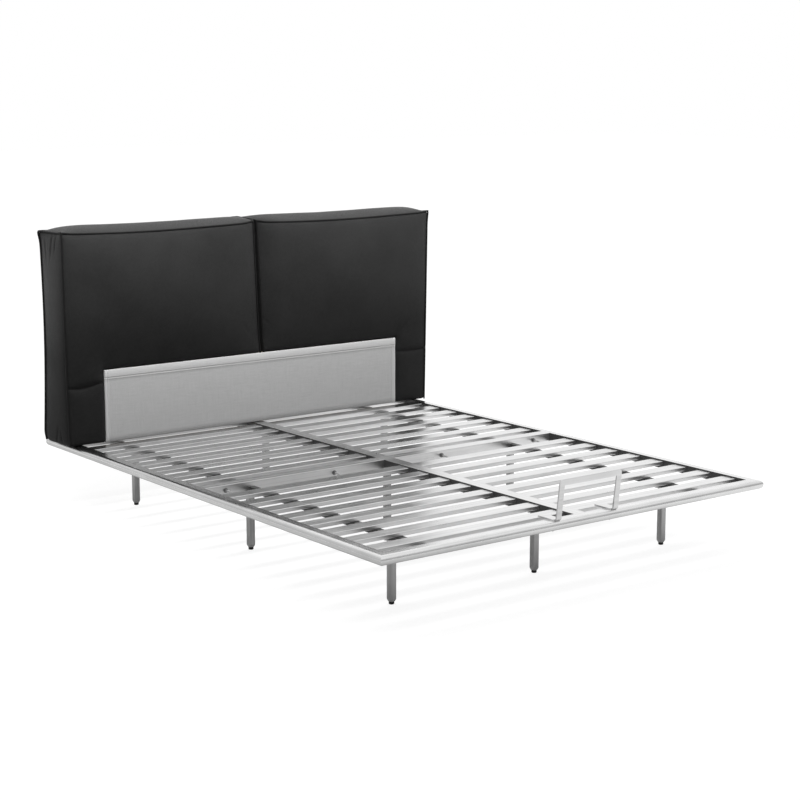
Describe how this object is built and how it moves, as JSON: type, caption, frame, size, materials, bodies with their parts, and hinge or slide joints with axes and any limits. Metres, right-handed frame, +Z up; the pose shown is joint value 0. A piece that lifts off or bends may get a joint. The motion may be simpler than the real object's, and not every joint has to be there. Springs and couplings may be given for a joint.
{
  "type": "platform bed",
  "caption": "Low platform bed: brushed steel slatted frame with half-round rails on short square legs, a split padded black leather headboard and a mattress stop at the foot.",
  "frame": {"origin": "on the floor under the middle of the bed frame", "axes": "X runs across the bed, +Y from the foot towards the headboard, +Z up"},
  "size_m": [1.8258, 2.3289, 1.139],
  "materials": {
    "brushed_steel": "satin",
    "zinc_fastener": "satin",
    "black_foot": "matte",
    "black_leather": "satin",
    "grey_fabric": "matte",
    "foam": "matte",
    "timber": "matte",
    "plywood": "matte"
  },
  "bodies": {
    "bed_frame": {"cross_bolt_nuts": "zinc_fastener", "cross_bolt_washers": "zinc_fastener", "cross_bolts": "zinc_fastener", "foot_center_beam": "brushed_steel", "foot_center_leg": "brushed_steel", "foot_cross_tube": "brushed_steel", "foot_left_bearer": "brushed_steel", "foot_left_leg": "brushed_steel", "foot_left_slats": "brushed_steel", "foot_rail": "brushed_steel", "foot_right_bearer": "brushed_steel", "foot_right_leg": "brushed_steel", "foot_right_slats": "brushed_steel", "head_center_beam": "brushed_steel", "head_center_leg": "brushed_steel", "head_cross_tube": "brushed_steel", "head_left_bearer": "brushed_steel", "head_left_leg": "brushed_steel", "head_left_slats": "brushed_steel", "head_rail": "brushed_steel", "head_right_bearer": "brushed_steel", "head_right_leg": "brushed_steel", "head_right_slats": "brushed_steel", "headboard_bolts": "zinc_fastener", "headboard_left_back_board": "plywood", "headboard_left_foam": "foam", "headboard_left_lower_cover": "black_leather", "headboard_left_timber_frame": "timber", "headboard_left_upper_cover": "black_leather", "headboard_panel_board": "plywood", "headboard_panel_fabric": "grey_fabric", "headboard_right_back_board": "plywood", "headboard_right_foam": "foam", "headboard_right_lower_cover": "black_leather", "headboard_right_timber_frame": "timber", "headboard_right_upper_cover": "black_leather", "left_foot_side_rail": "brushed_steel", "left_head_side_rail": "brushed_steel", "leg_bolts": "zinc_fastener", "leg_plugs": "brushed_steel", "leg_weld_nuts": "zinc_fastener", "mattress_stop": "brushed_steel", "middle_center_leg": "brushed_steel", "middle_left_leg": "brushed_steel", "middle_right_leg": "brushed_steel", "right_foot_side_rail": "brushed_steel", "right_head_side_rail": "brushed_steel", "stop_nuts": "zinc_fastener"},
    "foot_center_levelling_foot": {"foot_center_levelling_foot": "black_foot"},
    "foot_left_levelling_foot": {"foot_left_levelling_foot": "black_foot"},
    "foot_right_levelling_foot": {"foot_right_levelling_foot": "black_foot"},
    "head_center_levelling_foot": {"head_center_levelling_foot": "black_foot"},
    "head_left_levelling_foot": {"head_left_levelling_foot": "black_foot"},
    "head_right_levelling_foot": {"head_right_levelling_foot": "black_foot"},
    "middle_center_levelling_foot": {"middle_center_levelling_foot": "black_foot"},
    "middle_left_levelling_foot": {"middle_left_levelling_foot": "black_foot"},
    "middle_right_levelling_foot": {"middle_right_levelling_foot": "black_foot"}
  },
  "joints": [
    {"name": "foot_center_foot_screw", "type": "slide", "parent": "bed_frame", "child": "foot_center_levelling_foot", "axis": [0, 0, -1], "range_m": [0, 0.012]},
    {"name": "foot_left_foot_screw", "type": "slide", "parent": "bed_frame", "child": "foot_left_levelling_foot", "axis": [0, 0, -1], "range_m": [0, 0.012]},
    {"name": "foot_right_foot_screw", "type": "slide", "parent": "bed_frame", "child": "foot_right_levelling_foot", "axis": [0, 0, -1], "range_m": [0, 0.012]},
    {"name": "head_center_foot_screw", "type": "slide", "parent": "bed_frame", "child": "head_center_levelling_foot", "axis": [0, 0, -1], "range_m": [0, 0.012]},
    {"name": "head_left_foot_screw", "type": "slide", "parent": "bed_frame", "child": "head_left_levelling_foot", "axis": [0, 0, -1], "range_m": [0, 0.012]},
    {"name": "head_right_foot_screw", "type": "slide", "parent": "bed_frame", "child": "head_right_levelling_foot", "axis": [0, 0, -1], "range_m": [0, 0.012]},
    {"name": "middle_center_foot_screw", "type": "slide", "parent": "bed_frame", "child": "middle_center_levelling_foot", "axis": [0, 0, -1], "range_m": [0, 0.012]},
    {"name": "middle_left_foot_screw", "type": "slide", "parent": "bed_frame", "child": "middle_left_levelling_foot", "axis": [0, 0, -1], "range_m": [0, 0.012]},
    {"name": "middle_right_foot_screw", "type": "slide", "parent": "bed_frame", "child": "middle_right_levelling_foot", "axis": [0, 0, -1], "range_m": [0, 0.012]}
  ]
}
